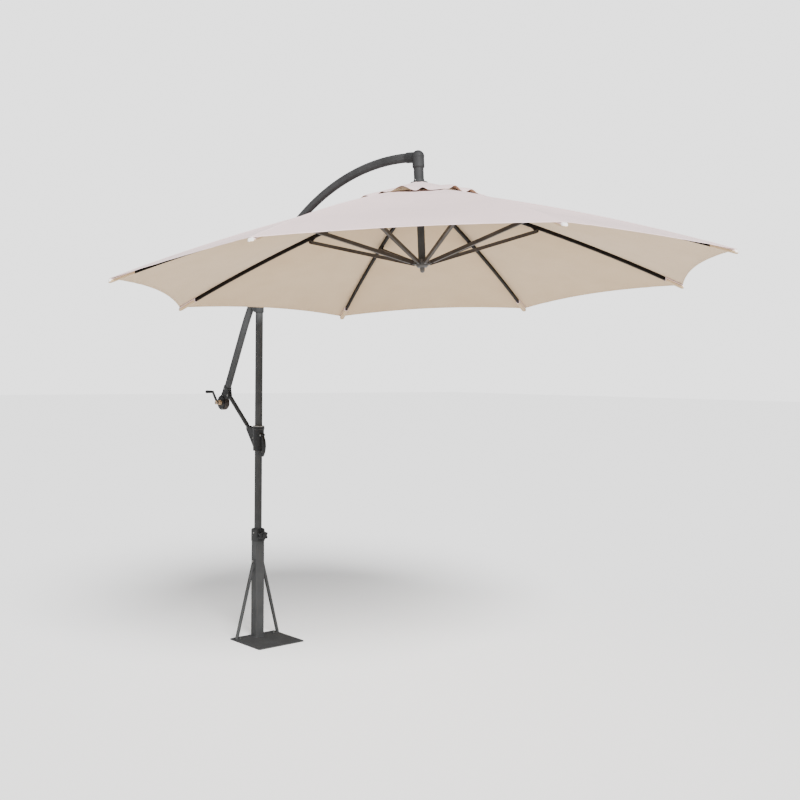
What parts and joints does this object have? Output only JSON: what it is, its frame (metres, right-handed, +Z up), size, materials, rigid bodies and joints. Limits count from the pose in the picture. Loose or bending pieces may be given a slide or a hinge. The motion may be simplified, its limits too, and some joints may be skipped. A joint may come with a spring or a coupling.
{
  "type": "cantilever parasol",
  "caption": "Cantilever parasol: a leaning curved boom on a swivelling mast, with a crank winch and an eight-rib vented canopy.",
  "frame": {"origin": "on the floor under the mast's axis, at the underside of the base plate", "axes": "+Z up along the mast; +X from the mast towards the centre of the canopy; the boom bends in the XZ plane"},
  "size_m": [3.2933, 2.7716, 2.7158],
  "materials": {
    "coated_steel": "anthracite powder coat, fine texture",
    "casting": "anthracite powder coat on cast aluminium",
    "black_plastic": "fine moulded grain",
    "bush_plastic": "pale moulded plastic",
    "tan_plastic": "moulded plastic",
    "zinc": "zinc plate",
    "rib_coat": "dark brown-black powder coat",
    "cord": "braided polyester",
    "canopy_cloth": "woven polyester, off-white outside and beige inside"
  },
  "bodies": {
    "base": {"base_plate": "coated_steel", "base_post": "coated_steel", "base_stays": "coated_steel", "base_bolts": "zinc", "post_collar": "casting", "foot_bush": "black_plastic"},
    "clamp_knob": {"clamp_knob": "black_plastic"},
    "mast": {"mast_tube": "coated_steel", "mast_head": "casting", "boom_pivot_bolt": "zinc"},
    "boom": {"boom_tube": "coated_steel", "boom_pivot_sleeve": "zinc", "boom_foot": "casting", "boom_screws": "zinc", "boom_pins": "zinc", "winch_cover_left": "black_plastic", "winch_cover_right": "black_plastic", "winch_cord": "cord", "elbow": "casting", "top_hub": "casting", "hub_pins": "zinc"},
    "elbow_pulley": {"elbow_pulley": "black_plastic"},
    "winch": {"winch_spool": "zinc", "crank_boss": "tan_plastic", "crank_arm": "coated_steel"},
    "crank_grip": {"crank_grip": "black_plastic"},
    "strut": {"strut_tube": "coated_steel", "strut_ends": "casting"},
    "slider": {"slider_shell_left": "black_plastic", "slider_shell_right": "black_plastic", "slider_bushes": "bush_plastic", "slider_screws": "zinc", "slider_pins": "zinc"},
    "lock_lever": {"lock_lever": "black_plastic"},
    "runner": {"runner_hub": "casting", "canopy_post": "coated_steel"},
    "rib_1": {"rib_1": "rib_coat", "canopy_1": "canopy_cloth"},
    "rib_2": {"rib_2": "rib_coat", "canopy_2": "canopy_cloth"},
    "rib_3": {"rib_3": "rib_coat", "canopy_3": "canopy_cloth"},
    "rib_4": {"rib_4": "rib_coat", "canopy_4": "canopy_cloth"},
    "rib_5": {"rib_5": "rib_coat", "canopy_5": "canopy_cloth"},
    "rib_6": {"rib_6": "rib_coat", "canopy_6": "canopy_cloth"},
    "rib_7": {"rib_7": "rib_coat", "canopy_7": "canopy_cloth"},
    "rib_8": {"rib_8": "rib_coat", "canopy_8": "canopy_cloth"},
    "stretcher_1": {"stretcher_1": "rib_coat"},
    "stretcher_2": {"stretcher_2": "rib_coat"},
    "stretcher_3": {"stretcher_3": "rib_coat"},
    "stretcher_4": {"stretcher_4": "rib_coat"},
    "stretcher_5": {"stretcher_5": "rib_coat"},
    "stretcher_6": {"stretcher_6": "rib_coat"},
    "stretcher_7": {"stretcher_7": "rib_coat"},
    "stretcher_8": {"stretcher_8": "rib_coat"}
  },
  "joints": [
    {"name": "mast_swivel", "type": "hinge", "parent": "base", "child": "mast", "pos_m": [0, 0, 0.4], "axis": [0, 0, 1], "continuous": true},
    {"name": "clamp_knob_turn", "type": "hinge", "parent": "base", "child": "clamp_knob", "pos_m": [0.05, 0, 0.623], "axis": [1, 0, 0], "range_deg": [0, 720]},
    {"name": "boom_tilt", "type": "hinge", "parent": "mast", "child": "boom", "pos_m": [-0.06, 0, 2.04], "axis": [0, -1, 0], "range_deg": [0, 10]},
    {"name": "strut_swing", "type": "hinge", "parent": "boom", "child": "strut", "pos_m": [-0.33027, 0, 1.45442], "axis": [0, -1, 0], "range_deg": [-36.4, 0]},
    {"name": "slider_pivot", "type": "hinge", "parent": "strut", "child": "slider", "pos_m": [-0.105, 0, 1.262], "axis": [0, -1, 0], "range_deg": [0, 26.4]},
    {"name": "lock_lever_squeeze", "type": "hinge", "parent": "slider", "child": "lock_lever", "pos_m": [0.041, 0, 1.226], "axis": [0, 1, 0], "range_deg": [0, 4], "stiffness_Nm_per_rad": 3, "springref_deg": -5.73},
    {"name": "winch_turn", "type": "hinge", "parent": "boom", "child": "winch", "pos_m": [-0.3986, 0, 1.40843], "axis": [0, -1, 0], "range_deg": [0, 2616]},
    {"name": "crank_grip_spin", "type": "hinge", "parent": "winch", "child": "crank_grip", "pos_m": [-0.45093, -0.07, 1.47541], "axis": [0, -1, 0], "continuous": true},
    {"name": "pulley_turn", "type": "hinge", "parent": "boom", "child": "elbow_pulley", "pos_m": [1.3928, 0, 2.64359], "axis": [0, 1, 0], "range_deg": [0, 3106]},
    {"name": "canopy_fold", "type": "hinge", "parent": "boom", "child": "rib_1", "pos_m": [1.46043, 0.01722, 2.50182], "axis": [-0.3818, 0.9239, -0.0267], "range_deg": [0, 68], "deforming": ["canopy_1"]},
    {"name": "rib_2_fold", "type": "hinge", "parent": "boom", "child": "rib_2", "pos_m": [1.43614, 0.04158, 2.50012], "axis": [-0.9216, 0.3827, -0.0644], "range_deg": [-0.1, 68.5], "deforming": ["canopy_2"]},
    {"name": "rib_3_fold", "type": "hinge", "parent": "boom", "child": "rib_3", "pos_m": [1.40178, 0.04158, 2.49771], "axis": [-0.9216, -0.3827, -0.0644], "range_deg": [-0.1, 68.5], "deforming": ["canopy_3"]},
    {"name": "rib_4_fold", "type": "hinge", "parent": "boom", "child": "rib_4", "pos_m": [1.37749, 0.01722, 2.49602], "axis": [-0.3818, -0.9239, -0.0267], "range_deg": [-0.1, 68.5], "deforming": ["canopy_4"]},
    {"name": "rib_5_fold", "type": "hinge", "parent": "boom", "child": "rib_5", "pos_m": [1.37749, -0.01722, 2.49602], "axis": [0.3818, -0.9239, 0.0267], "range_deg": [-0.1, 68.5], "deforming": ["canopy_5"]},
    {"name": "rib_6_fold", "type": "hinge", "parent": "boom", "child": "rib_6", "pos_m": [1.40178, -0.04158, 2.49771], "axis": [0.9216, -0.3827, 0.0644], "range_deg": [-0.1, 68.5], "deforming": ["canopy_6"]},
    {"name": "rib_7_fold", "type": "hinge", "parent": "boom", "child": "rib_7", "pos_m": [1.43614, -0.04158, 2.50012], "axis": [0.9216, 0.3827, 0.0644], "range_deg": [-0.1, 68.5], "deforming": ["canopy_7"]},
    {"name": "rib_8_fold", "type": "hinge", "parent": "boom", "child": "rib_8", "pos_m": [1.46043, -0.01722, 2.50182], "axis": [0.3818, 0.9239, 0.0267], "range_deg": [-0.1, 68.5], "deforming": ["canopy_8"]},
    {"name": "stretcher_1_fold", "type": "hinge", "parent": "rib_1", "child": "stretcher_1", "pos_m": [2.0164, 0.243, 2.36527], "axis": [-0.3818, 0.9239, -0.0267], "range_deg": [-136.5, 0.1]},
    {"name": "stretcher_2_fold", "type": "hinge", "parent": "rib_2", "child": "stretcher_2", "pos_m": [1.67358, 0.58666, 2.34129], "axis": [-0.9216, 0.3827, -0.0644], "range_deg": [-136.5, 0.1]},
    {"name": "stretcher_3_fold", "type": "hinge", "parent": "rib_3", "child": "stretcher_3", "pos_m": [1.18875, 0.58666, 2.30739], "axis": [-0.9216, -0.3827, -0.0644], "range_deg": [-136.5, 0.1]},
    {"name": "stretcher_4_fold", "type": "hinge", "parent": "rib_4", "child": "stretcher_4", "pos_m": [0.84593, 0.243, 2.28342], "axis": [-0.3818, -0.9239, -0.0267], "range_deg": [-136.5, 0.1]},
    {"name": "stretcher_5_fold", "type": "hinge", "parent": "rib_5", "child": "stretcher_5", "pos_m": [0.84593, -0.243, 2.28342], "axis": [0.3818, -0.9239, 0.0267], "range_deg": [-136.5, 0.1]},
    {"name": "stretcher_6_fold", "type": "hinge", "parent": "rib_6", "child": "stretcher_6", "pos_m": [1.18875, -0.58666, 2.30739], "axis": [0.9216, -0.3827, 0.0644], "range_deg": [-136.5, 0.1]},
    {"name": "stretcher_7_fold", "type": "hinge", "parent": "rib_7", "child": "stretcher_7", "pos_m": [1.67358, -0.58666, 2.34129], "axis": [0.9216, 0.3827, 0.0644], "range_deg": [-136.5, 0.1]},
    {"name": "stretcher_8_fold", "type": "hinge", "parent": "rib_8", "child": "stretcher_8", "pos_m": [2.0164, -0.243, 2.36527], "axis": [0.3818, 0.9239, 0.0267], "range_deg": [-136.5, 0.1]},
    {"name": "runner_level", "type": "hinge", "parent": "stretcher_1", "child": "runner", "pos_m": [1.48485, 0.01722, 2.15267], "axis": [-0.3818, 0.9239, -0.0267], "range_deg": [-0.1, 68.5]}
  ],
  "couplings": [
    {"joint": "strut_swing", "follows": "boom_tilt", "ratio": -3.62},
    {"joint": "slider_pivot", "follows": "boom_tilt", "ratio": 2.62},
    {"joint": "rib_2_fold", "follows": "canopy_fold", "ratio": 1},
    {"joint": "rib_3_fold", "follows": "canopy_fold", "ratio": 1},
    {"joint": "rib_4_fold", "follows": "canopy_fold", "ratio": 1},
    {"joint": "rib_5_fold", "follows": "canopy_fold", "ratio": 1},
    {"joint": "rib_6_fold", "follows": "canopy_fold", "ratio": 1},
    {"joint": "rib_7_fold", "follows": "canopy_fold", "ratio": 1},
    {"joint": "rib_8_fold", "follows": "canopy_fold", "ratio": 1},
    {"joint": "stretcher_1_fold", "follows": "canopy_fold", "ratio": -2},
    {"joint": "stretcher_2_fold", "follows": "canopy_fold", "ratio": -2},
    {"joint": "stretcher_3_fold", "follows": "canopy_fold", "ratio": -2},
    {"joint": "stretcher_4_fold", "follows": "canopy_fold", "ratio": -2},
    {"joint": "stretcher_5_fold", "follows": "canopy_fold", "ratio": -2},
    {"joint": "stretcher_6_fold", "follows": "canopy_fold", "ratio": -2},
    {"joint": "stretcher_7_fold", "follows": "canopy_fold", "ratio": -2},
    {"joint": "stretcher_8_fold", "follows": "canopy_fold", "ratio": -2},
    {"joint": "runner_level", "follows": "canopy_fold", "ratio": 1},
    {"joint": "winch_turn", "follows": "canopy_fold", "ratio": 38.4},
    {"joint": "pulley_turn", "follows": "canopy_fold", "ratio": 45.6}
  ]
}
